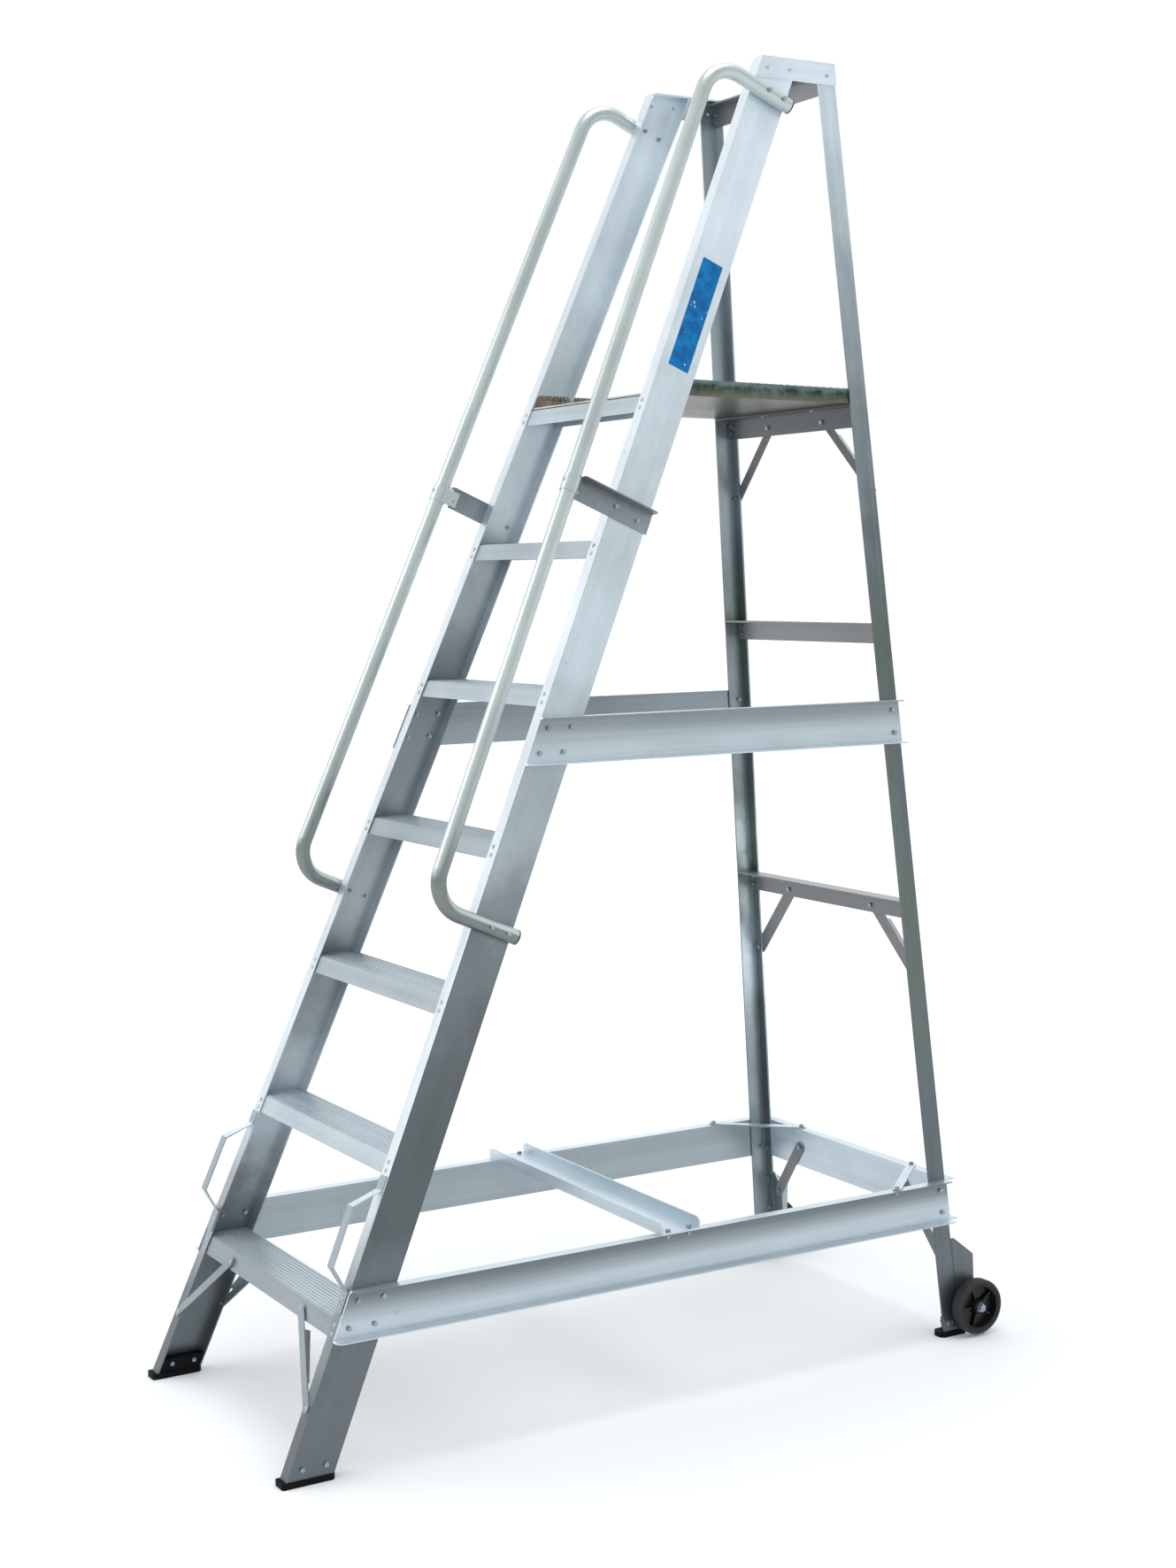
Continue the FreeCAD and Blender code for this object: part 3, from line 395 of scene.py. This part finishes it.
def deck_pattern():
    """Raised lugs on the deck's floor and on the inner side of both rims."""
    lo, hi = (Vector(p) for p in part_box("platform_deck"))
    verts, faces = [], []
    mid_y = (lo.y + hi.y) / 2
    p = hit(Vector((0, mid_y - 0.1, hi.z + 0.1)), Vector((0, 0, -1)))
    q = hit(Vector((0, mid_y + 0.1, hi.z + 0.1)), Vector((0, 0, -1)))
    back = (q - p).normalized()
    start = p + back * ((lo.y + 0.03 - p.y) / back.y)
    wide = int((2 * (-lo.x) - 0.07) / FLOOR_PITCH)
    deep = int((hi.y - lo.y - 0.06) / FLOOR_PITCH)
    east = Vector((1, 0, 0))
    pattern(verts, faces, start - east * (wide * FLOOR_PITCH / 2), east, back, east.cross(back),
            wide, deep, FLOOR_PITCH)
    long = int((hi.y - lo.y - 0.09) / RIM_PITCH)
    for s in (1, -1):
        z = p.z + 0.012
        a = hit(Vector((0, mid_y, z)), Vector((s, 0, 0)))
        b = hit(Vector((0, mid_y, z + 0.012)), Vector((s, 0, 0)))
        rise = (b - a).normalized()
        normal = rise.cross(back) if s < 0 else back.cross(rise)
        if normal.x * s > 0:
            normal = -normal
        base = a - rise * 0.010 - back * (a.y - lo.y - 0.05) / back.y
        pattern(verts, faces, base, back, rise, normal, long, 3, RIM_PITCH)
    mesh = bpy.data.meshes.new("deck_pattern")
    mesh.from_pydata([tuple(v) for v in verts], [], faces)
    mesh.materials.append(MAT["lug"])
    obj = bpy.data.objects.new("deck_pattern", mesh)
    scene.collection.objects.link(obj)
    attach(obj, "frame")


deck_pattern()

# ------------------------------------------------------------------ floor, light, camera
def floor():
    """A pale sheet of paper that glows, more strongly away from the ladder, so that it turns to white
    there.
    """
    shade = Shade("floor_paper", (0.90, 0.91, 0.92), 0.0, 0.9)
    shade.bsdf.inputs["Specular IOR Level"].default_value = 0.1
    shade.bsdf.inputs["Emission Color"].default_value = (1.0, 1.0, 1.0, 1.0)
    away = shade.new("ShaderNodeVectorMath", operation="LENGTH")
    shade.link(shade.point, away.inputs[0])
    glow = shade.ramp(away.outputs["Value"], 1.5, 7.0, 0.05, 0.30, "SMOOTHSTEP")
    shade.link(glow, shade.bsdf.inputs["Emission Strength"])
    reach = 60.0
    mesh = bpy.data.meshes.new("floor")
    mesh.from_pydata([(-reach, -reach, 0), (reach, -reach, 0), (reach, reach, 0), (-reach, reach, 0)],
                     [], [(0, 1, 2, 3)])
    mesh.materials.append(shade.mat)
    obj = bpy.data.objects.new("floor", mesh)
    scene.collection.objects.link(obj)


def studio():
    """Soft light from all round, a little stronger from the far left."""
    world = bpy.data.worlds.new("studio")
    scene.world = world
    world.use_nodes = True
    tree = world.node_tree
    sky = tree.nodes["Background"]
    sky.inputs["Color"].default_value = (0.97, 0.99, 1.0, 1.0)
    coord = tree.nodes.new("ShaderNodeTexCoord")
    toward = tree.nodes.new("ShaderNodeVectorMath")
    toward.operation = "DOT_PRODUCT"
    toward.inputs[1].default_value = (-0.80, 0.52, 0.30)
    fade = tree.nodes.new("ShaderNodeMapRange")
    fade.interpolation_type = "SMOOTHSTEP"
    for key, v in (("From Min", -0.5), ("From Max", 0.5), ("To Min", 0.82), ("To Max", 1.04)):
        fade.inputs[key].default_value = v
    tree.links.new(coord.outputs["Generated"], toward.inputs[0])
    tree.links.new(toward.outputs["Value"], fade.inputs["Value"])
    tree.links.new(fade.outputs["Result"], sky.inputs["Strength"])


def area(name, at, aim, size_x, size_y, power, color=(1, 1, 1)):
    data = bpy.data.lights.new(name, "AREA")
    data.shape = "RECTANGLE"
    data.size, data.size_y, data.energy, data.color = size_x, size_y, power, color
    obj = bpy.data.objects.new(name, data)
    scene.collection.objects.link(obj)
    obj.location = at
    obj.rotation_euler = (Vector(aim) - Vector(at)).to_track_quat("-Z", "Y").to_euler()


EYE = (4.29635, -2.49390, 1.73371)
YAW, PITCH, ROLL = math.radians(30.5455), math.radians(5.2763), math.radians(-0.7665)


def camera():
    """Looks back and to the left, slightly down, with a small roll."""
    data = bpy.data.cameras.new("camera")
    data.sensor_width = 36.0
    data.lens = 52.312
    data.clip_end = 200.0
    obj = bpy.data.objects.new("camera", data)
    scene.collection.objects.link(obj)
    flat = math.cos(PITCH)
    forward = Vector((-math.cos(YAW) * flat, math.sin(YAW) * flat, -math.sin(PITCH)))
    level = Vector((math.sin(YAW), math.cos(YAW), 0.0))
    rise = level.cross(forward)
    right = level * math.cos(ROLL) + rise * math.sin(ROLL)
    up = rise * math.cos(ROLL) - level * math.sin(ROLL)
    obj.matrix_world = Matrix(((right.x, up.x, -forward.x, EYE[0]),
                               (right.y, up.y, -forward.y, EYE[1]),
                               (right.z, up.z, -forward.z, EYE[2]),
                               (0, 0, 0, 1)))
    scene.camera = obj


floor()
studio()
area("front_panel", (-2.0, -5.0, 4.5), (0, 0, 1.2), 4.0, 3.0, 60.0, (0.99, 1.0, 1.0))
area("top_panel", (0.5, 0.5, 6.5), (0, 0, 1.0), 3.0, 3.0, 90.0)
camera()
scene.view_settings.view_transform = "Standard"
scene.view_settings.look = "None"
